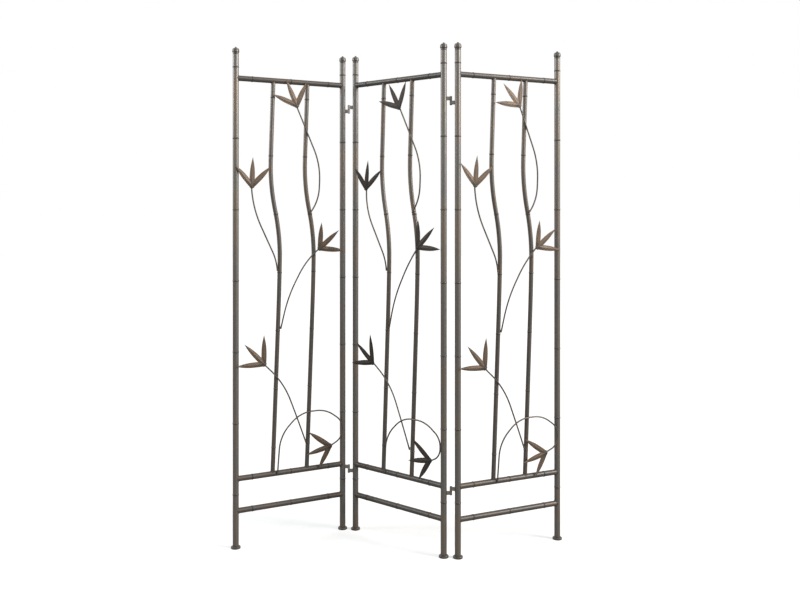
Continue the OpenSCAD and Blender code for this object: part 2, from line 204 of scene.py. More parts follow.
screen_middle, screen_top = (0, 0, 0.95), (0, 0, 1.5)
cool, plain, warm = (0.88, 0.95, 1.0), (1.0, 1.0, 1.0), (1.0, 0.975, 0.94)
soft_box("left_soft_box", (-4.4, -0.5, 3.1), screen_middle, 1.4, 2.3, 150, cool)
soft_box("right_soft_box", (7.0, -2.6, 4.6), screen_middle, 2.8, 4.0, 1000, warm)
soft_box("top_soft_box", (0.2, -1.6, 3.4), screen_top, 2.0, 0.9, 25, plain)

# %% [markdown]
# ## The floor
# A plain floor runs on under the whole view. It is diffuse, so it takes the screen's soft
# shadow, and a share of plain white seen only by the camera lifts it to the background's own
# white. The lamps light the floor less far away, so the share rises with the distance, and
# near the feet it leaves the shadow to be seen. To the tubes the floor is a pale grey, so
# their lower parts are darker than the tops, as in the photograph.

# %% Floor
def deselect():
    """Leaves edit mode and lets go of everything."""
    if bpy.context.mode != "OBJECT":
        bpy.ops.object.mode_set(mode="OBJECT")
    bpy.ops.object.select_all(action="DESELECT")


def fix_place():
    """Puts the active piece's place, turn and size into its mesh."""
    bpy.ops.object.transform_apply(location=True, rotation=True, scale=True)


floor_size, floor_colour = 40, (0.45, 0.45, 0.45)
# The white share near the screen and far from it, and where it starts and stops rising
near_share, far_share, near_reach, far_reach = 0.54, 0.86, 0.8, 7.5
deselect()
bpy.ops.mesh.primitive_plane_add(size=floor_size, location=(0, 0, 0))
floor = bpy.context.object
floor.name = "studio_floor"
fix_place()
floor_finish, tree, shader = new_finish("floor_white")
reach = add_node(tree, "VectorMath", {0: add_node(tree, "TexCoord").outputs["Object"]},
                 operation="LENGTH").outputs["Value"]
share = ramp(tree, reach, near_reach, far_reach, near_share, far_share)
seen = add_node(tree, "LightPath").outputs["Is Camera Ray"]
feed(tree, shader, {"Base Color": floor_colour, "Roughness": 1, "Specular IOR Level": 0,
                    "Emission Color": (1, 1, 1), "Emission Strength": times(tree, seen, share)})
floor.data.materials.append(floor_finish)
floor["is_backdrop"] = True
print("floor", floor.name)

# %% [markdown]
# ## Shared effects of the finish
# The tubes are painted in an antique brown and grey that was rubbed by hand: slow patches
# along each tube, fine streaks in it, dark dirt and painted shade in the corners of the
# rings. Each effect is a node group that is built once, and each finish sets its own values on
# it.

# %% A helper for node groups
def new_group(name, inputs, outputs):
    """A shader node group, its inputs' sockets and its output node, where a socket is given
    as (name, kind, default)."""
    group = bpy.data.node_groups.new(name, "ShaderNodeTree")
    for sockets, in_out in ((inputs, "INPUT"), (outputs, "OUTPUT")):
        for title, kind, *default in sockets:
            socket = group.interface.new_socket(title, in_out=in_out, socket_type=kind)
            if default:
                socket.default_value = default[0]
    given = group.nodes.new("NodeGroupInput").outputs
    return group, given, group.nodes.new("NodeGroupOutput")


print("the helper for node groups is ready")

# %% [markdown]
# The patina group lays slow patches along a tube, streaks from the rubbing cloth, and
# specks. It works on coordinates whose z runs along the tube, so a rail first turns them.

# %% Patina
streak_stretch, streak_fineness, speck_fineness = 0.06, 620, 900
# Between which values of its noise each effect sets in
patch_range, streak_range = (0.38, 0.64), (0.5, 0.72)
speck_range, rub_range = (0.62, 0.72), (0.5, 0.2)
most_speck, speck_height = 0.45, 0.4
patina, given, made = new_group(
    "patina",
    [("Vector", "NodeSocketVector"),
     ("Grey", "NodeSocketColor", (0.1, 0.1, 0.1, 1)),
     ("Brown", "NodeSocketColor", (0.1, 0.08, 0.06, 1)),
     ("Dark", "NodeSocketColor", (0.03, 0.03, 0.03, 1)),
     ("Patch scale", "NodeSocketFloat", 5.0),
     ("Streaks", "NodeSocketFloat", 0.3)],
    [("Color", "NodeSocketColor"), ("Rub", "NodeSocketFloat"), ("Height", "NodeSocketFloat")])
patches = noise(patina, given["Vector"], given["Patch scale"], 3, 0.55)
toned = mixed(patina, ramp(patina, patches, *patch_range), given["Grey"], given["Brown"])
drawn_out = add_node(patina, "Mapping", {"Vector": given["Vector"],
                                         "Scale": (1, 1, streak_stretch)}).outputs[0]
streak = noise(patina, drawn_out, streak_fineness, 3, 0.6)
streak_share = times(patina, ramp(patina, streak, *streak_range), given["Streaks"])
streaked = mixed(patina, streak_share, toned, given["Dark"])
speck = noise(patina, given["Vector"], speck_fineness, 2, 0.6)
speck_share = times(patina, ramp(patina, speck, *speck_range), most_speck)
feed(patina, made, {"Color": mixed(patina, speck_share, streaked, given["Dark"]),
                    "Rub": ramp(patina, streak, *rub_range),
                    "Height": math_node(patina, "MULTIPLY_ADD", speck, speck_height, streak)})
print("patina nodes", len(patina.nodes))

# %% [markdown]
# Dirt and painted shade darken both sides of each ring, and the ring's crest is rubbed bare.
# The rings stand at an even pitch, so one formula finds the distance to the nearest one.

# %% Ring dirt and painted shade
crest_edge, crest_middle = 1.1 * mm, 0.4 * mm
# The share of its reach where the dirt and painted shade are full
full_dirt_and_shade = 0.35
ring_dirt_and_shade, given, made = new_group(
    "ring_dirt_and_shade",
    [("Along", "NodeSocketFloat", 0.0), ("First", "NodeSocketFloat", 0.0),
     ("Pitch", "NodeSocketFloat", 1.0), ("Reach", "NodeSocketFloat", 0.005)],
    [("Dirt", "NodeSocketFloat"), ("Crest", "NodeSocketFloat")])
steps = math_node(ring_dirt_and_shade, "DIVIDE",
                  math_node(ring_dirt_and_shade, "SUBTRACT", given["Along"], given["First"]),
                  given["Pitch"])
off_step = math_node(ring_dirt_and_shade, "SUBTRACT", steps, math_node(ring_dirt_and_shade, "ROUND", steps))
away = times(ring_dirt_and_shade, math_node(ring_dirt_and_shade, "ABSOLUTE", off_step), given["Pitch"])
share_of_reach = math_node(ring_dirt_and_shade, "DIVIDE", away, given["Reach"])
feed(ring_dirt_and_shade, made, {"Dirt": ramp(ring_dirt_and_shade, share_of_reach, 1, full_dirt_and_shade),
                       "Crest": ramp(ring_dirt_and_shade, away, crest_edge, crest_middle)})
print("ring dirt nodes", len(ring_dirt_and_shade.nodes))

# %% [markdown]
# ## The finishes of the tubes
# Painted iron is neither bare metal nor plain paint: a half metallic shader with a thin
# satin coat shows both. The rings' places are those of the real tubes: seven on a post and
# on a cane, three on a rail.

# %% Tube finish
ring_reach = 4.2 * mm
post_rings, cane_rings, rail_rings = (0.195, 0.26), (0.35, 0.217), (0.0615, 0.15)
# The heights of the painted shadow under each cap, a dark belt, and how softly its edges fade
cap_shadow_heights, fade_below, fade_above = (1.8015, 1.808), 2 * mm, 0.5 * mm
# Painted shade, darker towards the bottom of the tube: the height where it starts and where it
# is full
low_shade_from, low_shade_full_at = 1.45, 0.7
# How much of the colour the dirt and painted shade at the rings, the painted shadow under the
# cap and the bare crests take
ring_dirt_and_shade_share, cap_shadow_share, crest_share, crest_gain = 0.8, 0.85, 0.5, 1.6
bump_strength, bump_depth = 0.22, 0.3 * mm
rough_spread, rough_drop = 0.12, 0.08
satin_weight, satin_rough = 0.25, 0.28


def coat_of(tree, vector, grey, brown, dark, patch_scale, streaks):
    """The outputs of the patina group with a finish's own values."""
    return add_node(tree, "Group", {"Vector": vector, "Grey": grey, "Brown": brown,
                                    "Dark": dark, "Patch scale": patch_scale,
                                    "Streaks": streaks}, node_tree=patina).outputs


def iron_finish(name, grey, brown, dark, patch_scale=5.0, streaks=0.35, metallic=0.55,
                roughness=0.4, rings=None, shadow_band=None, painted_low_shade=0.0, turn=0.0, lying=False,
                origin=(0, 0)):
    """Old painted iron. rings is (first, pitch) along the tube; the belt between two heights
    is a painted shadow under the cap, the share low down is painted shade, darker towards
    the bottom, and a lying tube runs in the direction that turn gives, from its origin."""
    finish, tree, shader = new_finish(name)
    # Turned so that z runs along the tube
    turned = Matrix.Rotation(turn, 3, "Z")
    if lying:
        turned = turned @ Matrix.Rotation(math.pi / 2, 3, "Y")
    place = add_node(tree, "Mapping", {"Vector": add_node(tree, "TexCoord").outputs["Object"],
                                       "Location": (*origin, 0),
                                       "Rotation": turned.to_euler()},
                     vector_type="TEXTURE").outputs[0]
    coat = coat_of(tree, place, grey, brown, dark, patch_scale, streaks)
    colour = coat["Color"]
    if rings:
        first, pitch = rings
        along = add_node(tree, "SeparateXYZ", {0: place}).outputs["Z"]
        ring = add_node(tree, "Group", {"Along": along, "First": first, "Pitch": pitch,
                                        "Reach": ring_reach}, node_tree=ring_dirt_and_shade).outputs
        # Dirt and painted shade darken the tube on both sides of each ring
        colour = mixed(tree, times(tree, ring["Dirt"], ring_dirt_and_shade_share), colour, dark)
        worn = times(tree, ring["Crest"], coat["Rub"])
        bare = tuple(crest_gain * part for part in grey)
        colour = mixed(tree, times(tree, worn, crest_share), colour, bare)
        # A painted shadow: a dark belt on the post right under the cap
        if shadow_band:
            low, high = shadow_band
            inside = times(tree, ramp(tree, along, low - fade_below, low),
                           ramp(tree, along, high + fade_above, high))
            colour = mixed(tree, times(tree, inside, cap_shadow_share), colour, dark)
        # Painted shade: the colour grows darker towards the bottom of the tube
        if painted_low_shade:
            low_shade_mask = ramp(tree, along, low_shade_from, low_shade_full_at)
            colour = mixed(tree, times(tree, low_shade_mask, painted_low_shade), colour, dark)
    bump = add_node(tree, "Bump", {"Strength": bump_strength, "Distance": bump_depth,
                                   "Height": coat["Height"]})
    rough = math_node(tree, "MULTIPLY_ADD", coat["Height"], rough_spread,
                      roughness - rough_drop)
    feed(tree, shader, {"Base Color": colour, "Roughness": rough, "Normal": bump.outputs[0],
                        "Metallic": metallic, "Coat Weight": satin_weight,
                        "Coat Roughness": satin_rough})
    return finish


# A dark for dirt, streaks and specks, used for painted shade too
grime_and_shade = (0.022, 0.018, 0.015)
post_finish = iron_finish("post_patina", (0.118, 0.109, 0.098), (0.142, 0.114, 0.090), grime_and_shade,
                          rings=post_rings, shadow_band=cap_shadow_heights, painted_low_shade=0.2)
cane_finish = iron_finish("cane_patina", (0.093, 0.082, 0.070), (0.118, 0.090, 0.066), grime_and_shade,
                          rings=cane_rings, patch_scale=7.0, painted_low_shade=0.42)
wire_finish = iron_finish("tendril_patina", (0.062, 0.054, 0.045), (0.082, 0.060, 0.043),
                          grime_and_shade, patch_scale=12.0, streaks=0.2)
weld_finish = iron_finish("weld_scale", (0.052, 0.047, 0.043), (0.064, 0.050, 0.040), grime_and_shade,
                          patch_scale=120.0, streaks=0.2, roughness=0.55)
print("finishes", len(bpy.data.materials))

# %% [markdown]
# ## Where each panel stands
# A panel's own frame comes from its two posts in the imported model: the left post's middle
# is its origin, and the right post gives the direction of its x.

# %% Panel frames
def post_spot(node):
    low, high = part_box(node)
    return Vector(((low.x + high.x) / 2, (low.y + high.y) / 2, 0))


panel_frame, panel_turn, panel_w = {}, {}, 0
for panel in panels:
    here, there = post_spot(f"{panel}_left_post"), post_spot(f"{panel}_right_post")
    along = there - here
    panel_turn[panel] = math.atan2(along.y, along.x)
    panel_w = along.length
    panel_frame[panel] = Matrix.Translation(here) @ Matrix.Rotation(panel_turn[panel], 4, "Z")
    print(panel, "turned", round(math.degrees(panel_turn[panel]), 1), "wide", round(panel_w, 4))

# %% [markdown]
# A rail lies down, so its finish is made once for each panel, turned to run along it. Its
# middle ring stands halfway between the posts, and the others 150 mm from it. Its colours
# are darker than the posts': painted shade for the light a lying tube catches.

# %% Finishes on the imported tubes
def paint(piece, finish):
    """Gives a piece one finish and no other."""
    piece.data.materials.clear()
    piece.data.materials.append(finish)


# The rails' darker colours are painted shade, for the light that falls on a lying tube
shaded_rail_finish = {
    panel: iron_finish(f"{panel}_rail_shaded_patina", (0.042, 0.035, 0.029), (0.060, 0.042, 0.029),
                       (0.014, 0.011, 0.009), rings=rail_rings, patch_scale=9.0, metallic=0.4,
                       roughness=0.55, turn=panel_turn[panel], lying=True,
                       origin=panel_frame[panel].translation.xy)
    for panel in panels}
for panel in panels:
    finish_of = {"left_post": post_finish, "right_post": post_finish,
                 "top_rail": shaded_rail_finish[panel], "foot_rails": shaded_rail_finish[panel],
                 "left_stalk": cane_finish, "right_stalk": cane_finish}
    for name in ("top", "shoulder", "waist", "knee", "arch"):
        finish_of[f"{name}_tendril"] = wire_finish
    for name, finish in finish_of.items():
        paint(frame["nodes"][f"{panel}_{name}"], finish)
print("finished nodes", sum(len(n.data.materials) == 1 for n in frame["nodes"].values()))

# %% [markdown]
# ## Tools for shaping
# A few small helpers are used for every new piece: one picks vertices or edges by their
# place, two apply a modifier or smooth the shading, and one sets copies of a finished shape
# down in their places and joins them, each copy with its own mesh.

# %% Shaping helpers
def choose(test, kind="VERT"):
    """In edit mode, selects the vertices or edges whose middle passes the test."""
    bpy.ops.mesh.select_mode(type=kind)
    bpy.ops.mesh.select_all(action="DESELECT")
    mesh = bmesh.from_edit_mesh(bpy.context.object.data)
    for part in mesh.verts if kind == "VERT" else mesh.edges:
        ends = [part] if kind == "VERT" else part.verts
        if test(sum((v.co for v in ends), Vector()) / len(ends)):
            part.select_set(True)
    mesh.select_flush_mode()
    bmesh.update_edit_mesh(bpy.context.object.data)


def pick_up(piece):
    """Selects one piece alone and makes it the active one."""
    deselect()
    bpy.context.view_layer.objects.active = piece
    piece.select_set(True)


def apply_modifier(piece, kind, **values):
    """Adds a modifier, sets it and applies it."""
    modifier = piece.modifiers.new(kind.lower(), kind)
    for name, value in values.items():
        setattr(modifier, name, value)
    pick_up(piece)
    bpy.ops.object.modifier_apply(modifier=modifier.name)


def smooth(piece, degrees=35):
    """Smooth shading, with the edges sharper than an angle kept sharp."""
    pick_up(piece)
    bpy.ops.object.shade_smooth_by_angle(angle=math.radians(degrees))


def set_down(name, shape, places, finish, panel, stands_for=None):
    """Copies a finished shape to its places, joins the copies and lets them ride a panel."""
    copies = []
    for place in places:
        copy = bpy.data.objects.new(name, shape.data.copy())
        copy.data.transform(place)
        if place.determinant() < 0:
            copy.data.flip_normals()
        scene.collection.objects.link(copy)
        copies.append(copy)
    deselect()
    for copy in copies:
        copy.select_set(True)
    bpy.context.view_layer.objects.active = copies[0]
    if len(copies) > 1:
        bpy.ops.object.join()
    piece = bpy.context.object
    piece.name = name
    piece.data.name = name
    paint(piece, finish)
    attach(piece, panel)
    if stands_for:
        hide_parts(stands_for)
    return piece


def put_away(*shapes):
    """Removes a shape that was only made to be copied."""
    for shape in shapes:
        bpy.data.objects.remove(shape, do_unlink=True)


print("shaping helpers are ready")

# %% [markdown]
# ## Turned caps and feet
# On the real posts a turned collar with a button closes the top, and a turned disc makes a
# foot. A lathe shape is a profile spun round an axis, so one profile line is drawn by
# extruding a single vertex from point to point, and the spin operator does the rest. The
# cap is hollow underneath and the foot on top, where the post's tube goes in.

# %% Lathe
def lathe(name, profile, steps=56):
    """Spins a profile of (radius, height) points round the z axis into a closed shape."""
    deselect()
    bpy.ops.mesh.primitive_plane_add(size=2 * mm, location=(profile[0][0], 0, profile[0][1]))
    shape = bpy.context.object
    shape.name = name
    fix_place()
    bpy.ops.object.mode_set(mode="EDIT")
    bpy.ops.mesh.select_mode(type="VERT")
    bpy.ops.mesh.merge(type="CENTER")
    for (r, z), (r_next, z_next) in zip(profile, profile[1:]):
        bpy.ops.mesh.extrude_vertices_move(
            TRANSFORM_OT_translate={"value": (r_next - r, 0, z_next - z)})
    bpy.ops.mesh.select_all(action="SELECT")
    bpy.ops.mesh.spin(steps=steps, angle=2 * math.pi, center=(0, 0, 0), axis=(0, 0, 1))
    bpy.ops.mesh.select_all(action="SELECT")
    bpy.ops.mesh.remove_doubles(threshold=0.01 * mm)
    bpy.ops.mesh.normals_make_consistent(inside=False)
    bpy.ops.object.mode_set(mode="OBJECT")
    smooth(shape)
    return shape


def arc(middle_r, middle_z, radius, start, end, count):
    """Points of an arc, for a rounded part of a profile; angles in degrees from +r to +z."""
    angles = [math.radians(start + (end - start) * i / count) for i in range(count + 1)]
    return [(middle_r + radius * math.cos(a), middle_z + radius * math.sin(a)) for a in angles]


post_r, post_top = 11 * mm, 1824 * mm
socket_r = post_r + 0.05 * mm
foot_r, foot_h, foot_floor = 17.5 * mm, 8 * mm, 3 * mm
cap_r, cap_h, cap_roof, button_r = 13 * mm, 16 * mm, 4 * mm, 5 * mm
foot_shape = lathe(
    "foot_shape",
    [(0, 0.4 * mm), (foot_r - 4 * mm, 0.4 * mm), (foot_r - 3 * mm, 0), (foot_r - 1 * mm, 0)]
    + arc(foot_r - 0.8 * mm, 0.8 * mm, 0.8 * mm, -70, 0, 3)
    + [(foot_r, 4.2 * mm)]
    + arc(foot_r - 1.8 * mm, foot_h - 2.7 * mm, 1.8 * mm, 0, 72, 5)
    + [(post_r + 2.2 * mm, foot_h - 0.55 * mm), (post_r + 1.1 * mm, foot_h),
       (post_r + 0.5 * mm, foot_h), (socket_r, foot_h - 0.5 * mm),
       (socket_r, foot_floor), (0, foot_floor)])
cap_shape = lathe(
    "cap_shape",
    [(0, button_r)] + arc(0, 0.7 * mm, button_r - 0.7 * mm, 78, -8, 10)
    + [(3.7 * mm, -0.1 * mm), (4.4 * mm, -0.35 * mm), (cap_r - 6.4 * mm, -0.3 * mm)]
    + arc(cap_r - 6.4 * mm, -6.1 * mm, 5.8 * mm, 84, 12, 9)
    + [(cap_r - 0.9 * mm, -6.4 * mm), (cap_r - 0.9 * mm, -7.4 * mm)]
    + arc(cap_r - 1.5 * mm, -9.1 * mm, 1.5 * mm, 62, 0, 4)
    + [(cap_r, -13.6 * mm)] + arc(cap_r - 1.4 * mm, -13.9 * mm, 1.4 * mm, -4, -66, 4)
    + [(post_r + 0.6 * mm, -cap_h + 0.2 * mm), (socket_r + 0.2 * mm, -cap_h),
       (socket_r, -cap_h + 0.5 * mm), (socket_r, -cap_roof), (0, -cap_roof)])
turned_finish = iron_finish("turned_iron", (0.062, 0.055, 0.048), (0.078, 0.060, 0.046), grime_and_shade,
                            patch_scale=30.0, streaks=0.3)
for panel in panels:
    for name, shape, z in (("post_feet", foot_shape, 0), ("post_caps", cap_shape, post_top)):
        set_down(f"{panel}_turned_{name[5:]}", shape,
                 [panel_frame[panel] @ Matrix.Translation((x, 0, z)) for x in (0, panel_w)],
                 turned_finish, panel, f"{panel}_{name}")
put_away(foot_shape, cap_shape)
print("caps and feet on", len(panels), "panels")

# %% [markdown]
# ## Leaves
# A leaf is cut from thin sheet, creased along its midrib and dished a little on each side
# with a hammer. One blade is modelled: a strip, four faces wide, that is extruded row by
# row while its width follows the outline. The midrib is raised and creased, a solidify
# modifier gives the sheet its thickness and a subdivision surface rounds it.

# %% One blade
blade_w, blade_len = 20 * mm, 100 * mm
widest, foot_share, taper, tip_half = 0.3, 0.9, 1.3, 0.35 * mm
sheet_t, ridge_h, dish = 1.1 * mm, 1.7 * mm, 0.32
rows, crowding = 14, 1.25


def blade_half(s):
    """Half the blade's width at a share of its length, never less than at its tip."""
    if s < widest:
        share = foot_share + (1 - foot_share) * math.sin(math.pi / 2 * s / widest)
    else:
        share = math.cos(math.pi / 2 * ((s - widest) / (1 - widest)) ** taper)
    return max(blade_w / 2 * share, tip_half)


def row_at(i):
    """The rows lie closer at the tip, where the outline turns faster."""
    return 1 - (1 - i / rows) ** crowding


deselect()
bpy.ops.mesh.primitive_grid_add(x_subdivisions=1, y_subdivisions=4, size=2,
                                location=(0, 0, 0))
blade = bpy.context.object
blade.name = "blade_shape"
first_x = blade_len * row_at(1) / 2
blade.scale = (first_x, blade_half(0), 1)
blade.location = (first_x, 0, 0)
fix_place()
bpy.ops.object.mode_set(mode="EDIT")
choose(lambda p: p.x > first_x)
bpy.ops.transform.resize(value=(1, blade_half(row_at(1)) / blade_half(0), 1),
                         center_override=(2 * first_x, 0, 0))
for i in range(1, rows):
    x, x_next = blade_len * row_at(i), blade_len * row_at(i + 1)
    choose(lambda p: p.x > x - 0.001 * mm)
    bpy.ops.mesh.select_mode(type="EDGE")
    bpy.ops.mesh.extrude_edges_move(TRANSFORM_OT_translate={"value": (x_next - x, 0, 0)})
    narrower = blade_half(row_at(i + 1)) / blade_half(row_at(i))
    bpy.ops.transform.resize(value=(1, narrower, 1), center_override=(x_next, 0, 0))
print("blade vertices", len(bmesh.from_edit_mesh(blade.data).verts))

# %% [markdown]
# The strip is still flat. Row by row, its middle vertex is raised to make the midrib, and
# the two beside it a third as much, which dishes the blade. The ridge gets lower towards
# the tip.

# %% Midrib and dish
for i in range(rows + 1):
    x = blade_len * row_at(i)
    ridge = ridge_h * (1 - 0.75 * (i / rows) ** 2)
    half = blade_half(row_at(i))
    for across, rise in ((0, ridge), (0.5, dish * ridge), (-0.5, dish * ridge)):
        choose(lambda p: abs(p.x - x) < 0.01 * mm and abs(p.y / half - across) < 0.1)
        bpy.ops.transform.translate(value=(0, 0, rise))
choose(lambda p: abs(p.y) < 0.01 * mm, "EDGE")
bpy.ops.transform.edge_crease(value=0.6)
bpy.ops.mesh.select_all(action="SELECT")
bpy.ops.transform.translate(value=(0, 0, sheet_t))
bpy.ops.object.mode_set(mode="OBJECT")
unwrap = blade.data.uv_layers[0].data
for loop in blade.data.loops:
    p = blade.data.vertices[loop.vertex_index].co
    half = blade_half(min(p.x / blade_len, 1))
    unwrap[loop.index].uv = (p.x / blade_len, 0.5 + 0.5 * p.y / half)
apply_modifier(blade, "SOLIDIFY", thickness=sheet_t, offset=-1, use_even_offset=True,
               edge_crease_inner=0.4, edge_crease_outer=0.4)
apply_modifier(blade, "SUBSURF", levels=2, render_levels=2)
smooth(blade, 60)
print("blade faces", len(blade.data.polygons))
print("blade size", [round(v / mm, 1) for v in blade.dimensions], "mm")

# %% [markdown]
# The leaf finish is browner than the tubes. It follows the blade's own map, whose u runs
# from the fork to the tip and whose v runs across: fine veins fan along it, the midrib and
# the edges are rubbed, and the fork is dark from the welding heat.

# %% Leaf finish
leaf_patches, leaf_streaks = 38, 0.12
# Along the blade: where the heat's dark ends and is full, and where the rubbed midrib starts
burn_range, most_burn, midrib_start = (0.26, 0.02), 0.7, (0.1, 0.3)
# Across the blade, from its middle: the rubbed midrib and the rubbed rim
midrib_range, rim_range = (0.05, 0.015), (0.46, 0.5)
vein_rate, vein_fan, vein_height = 90, -0.35, 0.35


def leaf_finish_of(name, brown, red, dark, bright, metallic, coat_weight, specular):
    """Painted sheet iron; bright is its colour where it is rubbed."""
    finish, tree, shader = new_finish(name)
    place = add_node(tree, "TexCoord").outputs
    coat = coat_of(tree, place["Object"], brown, red, dark, leaf_patches, leaf_streaks)
    blade_map = add_node(tree, "SeparateXYZ", {0: place["UV"]}).outputs
    along, across = blade_map["X"], blade_map["Y"]
    off_middle = math_node(tree, "ABSOLUTE", math_node(tree, "SUBTRACT", across, 0.5))
    burnt = times(tree, ramp(tree, along, *burn_range), most_burn)
    colour = mixed(tree, burnt, coat["Color"], dark)
    midrib = times(tree, ramp(tree, off_middle, *midrib_range),
                   ramp(tree, along, *midrib_start))
    rim = ramp(tree, off_middle, *rim_range)
    rubbed = math_node(tree, "MULTIPLY", math_node(tree, "MAXIMUM", midrib, rim),
                       math_node(tree, "MULTIPLY_ADD", coat["Rub"], 0.6, 0.3), clamp=True)
    colour = mixed(tree, rubbed, colour, bright)
    fan = math_node(tree, "DIVIDE", off_middle,
                    math_node(tree, "MULTIPLY_ADD", along, vein_fan, 1))
    vein = math_node(tree, "SINE", times(tree, fan, vein_rate))
    height = math_node(tree, "MULTIPLY_ADD", vein, vein_height, coat["Height"])
    bump = add_node(tree, "Bump", {"Strength": 0.5, "Distance": 0.4 * mm, "Height": height})
    rough = math_node(tree, "MULTIPLY_ADD", coat["Height"], 0.14, 0.36)
    feed(tree, shader, {"Base Color": colour, "Roughness": rough, "Normal": bump.outputs[0],
                        "Metallic": metallic, "Specular IOR Level": specular,
                        "Coat Weight": coat_weight, "Coat Roughness": 0.3})
    return finish


leaf_finish = leaf_finish_of("leaf_bronze", (0.072, 0.049, 0.031), (0.088, 0.055, 0.032),
                             (0.024, 0.017, 0.012), (0.20, 0.14, 0.095), 0.4, 0.05, 0.5)
# The middle panel's leaves get a darker copy of the leaf finish: painted shade for leaves turned
# away from the strong lamp
shaded_leaf_finish = leaf_finish_of("shaded_leaf_bronze", (0.024, 0.0175, 0.0125),
                                  (0.032, 0.021, 0.0135), (0.009, 0.007, 0.006),
                                  (0.10, 0.075, 0.053), 0.3, 0.0, 0.35)
print("leaf finishes", leaf_finish.name, shaded_leaf_finish.name)

# %% [markdown]
# A sprig has three blades that fork 8 mm above its foot, where a small hammered boss covers
# the wire's end. No two panels are quite alike, so each sprig has its own place, turn and
# lengths, and each blade is lifted at its tip by a little chance amount.

# %% Sprigs
boss_shape = lathe("boss_shape", [(0, 2.5 * mm), (2.4 * mm, 2.3 * mm), (4.6 * mm, 1.6 * mm),
                                  (5.6 * mm, 0.9 * mm), (5.9 * mm, 0.3 * mm), (5.7 * mm, 0),
                                  (0, 0)], steps=28)
fork_rise, boss_x = 8 * mm, 3 * mm
cad_leaf_t, middle_lift = 1.5 * mm, 0.25 * mm
most_tip_lift = 0.009  # as a share of the blade's length
# For each tendril: the turns of its sprig on the three panels, how far the side blades open,
# and the three blades' lengths in millimetres
sprigs = {
    "top": ((114, 118, 132), (45, -48), (101, 109, 98)),
    "shoulder": ((88, 84, 86), (42, -43), (97, 113, 103)),
    "waist": ((41, 44, 40), (45, -47), (98, 112, 102)),
    "knee": ((134, 140, 131), (47, -44), (106, 116, 107)),
    "arch": ((193, 190, 195), (47, -49), (93, 108, 107)),
}
# The place of each tendril's tip on the three panels: x and z, in millimetres
tips = {
    "top": ((233, 1619), (232, 1605), (252, 1610)),
    "shoulder": ((56.2, 1314), (66.2, 1309), (62.2, 1315)),
    "waist": ((316.8, 1083), (311.8, 1093), (319.8, 1092)),
    "knee": ((107.2, 660), (107.2, 653), (105.2, 663)),
    "arch": ((371, 333), (380, 339), (367, 336)),
}
random.seed(7)


def leaf_back(panel, node):
    """The y of the back of a packed leaf's sheet, in its panel's own coordinates."""
    to_panel = panel_frame[panel].inverted()
    return min((to_panel @ v.co).y for v in frame["nodes"][node].data.vertices) + cad_leaf_t


for name, (turns, spreads, lengths) in sprigs.items():
    for i, panel in enumerate(panels):
        node = f"{panel}_{name}_leaves"
        x, z = tips[name][i]
        foot = (panel_frame[panel] @ Matrix.Translation((x * mm, leaf_back(panel, node), z * mm))
                @ Matrix.Rotation(math.pi / 2, 4, "X")
                @ Matrix.Rotation(math.radians(turns[i]), 4, "Z"))
        places = []
        for spread, length in zip((spreads[0], 0, spreads[1]), lengths):
            lift = Matrix.Identity(4)
            lift[2][0] = random.uniform(0.2, 1) * most_tip_lift
            start = (0, 0, middle_lift) if spread == 0 else (fork_rise, 0, 0)
            places.append(foot @ Matrix.Translation(start)
                          @ Matrix.Rotation(math.radians(spread), 4, "Z") @ lift
                          @ Matrix.Diagonal((length * mm / blade_len, 1, 1, 1)))
        # The middle panel's leaves take the darker copy, which is painted shade
        if panel == "middle_panel":
            finish, slot = shaded_leaf_finish, "middle_leaves"
        else:
            finish, slot = leaf_finish, "leaves"
        sprig = set_down(f"{panel}_{name}_sprig", blade, places, finish, panel, node)
        boss = boss_shape.data.copy()
        boss.transform(foot @ Matrix.Translation((boss_x, 0, 0)))
        mesh = bmesh.new()
        mesh.from_mesh(sprig.data)
        mesh.from_mesh(boss)
        mesh.to_mesh(sprig.data)
        mesh.free()
        bpy.data.meshes.remove(boss)
put_away(blade, boss_shape)
print("sprigs", len(sprigs) * len(panels), "faces in one", len(sprig.data.polygons))

# %% [markdown]
# ## Hinges
# Each hinge is two short straps, welded to neighbouring posts, whose knuckles sit one on
# the other on a headed pin. A strap is nearly as high as its knuckle and gets thicker
# towards the weld. The knuckle is a lathe shape round the pin, the arm a cube that is
# subdivided and flared, and a boolean joins the two.

# %% One hinge arm
pin_r, bore_r, knuckle_r, knuckle_h = 2.5 * mm, 2.55 * mm, 4.5 * mm, 14.6 * mm
half_h, bore_edge, knuckle_edge = knuckle_h / 2, 0.4 * mm, 0.7 * mm
arm_h, arm_t, weld_depth = 14 * mm, 5 * mm, 0.6 * mm
pin_spot = {panel: {} for panel in panels}
for fold, panel_pair in (("left", ("left_panel", "middle_panel")),
                         ("right", ("middle_panel", "right_panel"))):
    joint = next(j for j in frame["joints"] if j["name"] == f"{fold}_fold")
    for panel in panel_pair:
        spot = panel_frame[panel].inverted() @ Vector(joint["pos_m"])
        post_x = 0 if spot.x < panel_w / 2 else panel_w
        pin_spot[panel][fold] = (post_x, spot)
        print(panel, fold, "pin", [round(v / mm, 2) for v in spot])
arm_len = Vector((spot.x - post_x, spot.y)).length
knuckle = lathe("knuckle_shape", [
    (bore_r, bore_edge - half_h), (bore_r + bore_edge, -half_h),
    (knuckle_r - knuckle_edge, -half_h), (knuckle_r, knuckle_edge - half_h),
    (knuckle_r, half_h - knuckle_edge), (knuckle_r - knuckle_edge, half_h),
    (bore_r + bore_edge, half_h), (bore_r, half_h - bore_edge),
    (bore_r, bore_edge - half_h)], steps=40)
knuckle.data.transform(Matrix.Translation((arm_len, 0, 0)))
arm_start, arm_end = post_r - weld_depth, arm_len - (knuckle_r + bore_r) / 2
deselect()
bpy.ops.mesh.primitive_cube_add(size=1, location=((arm_start + arm_end) / 2, 0, 0))
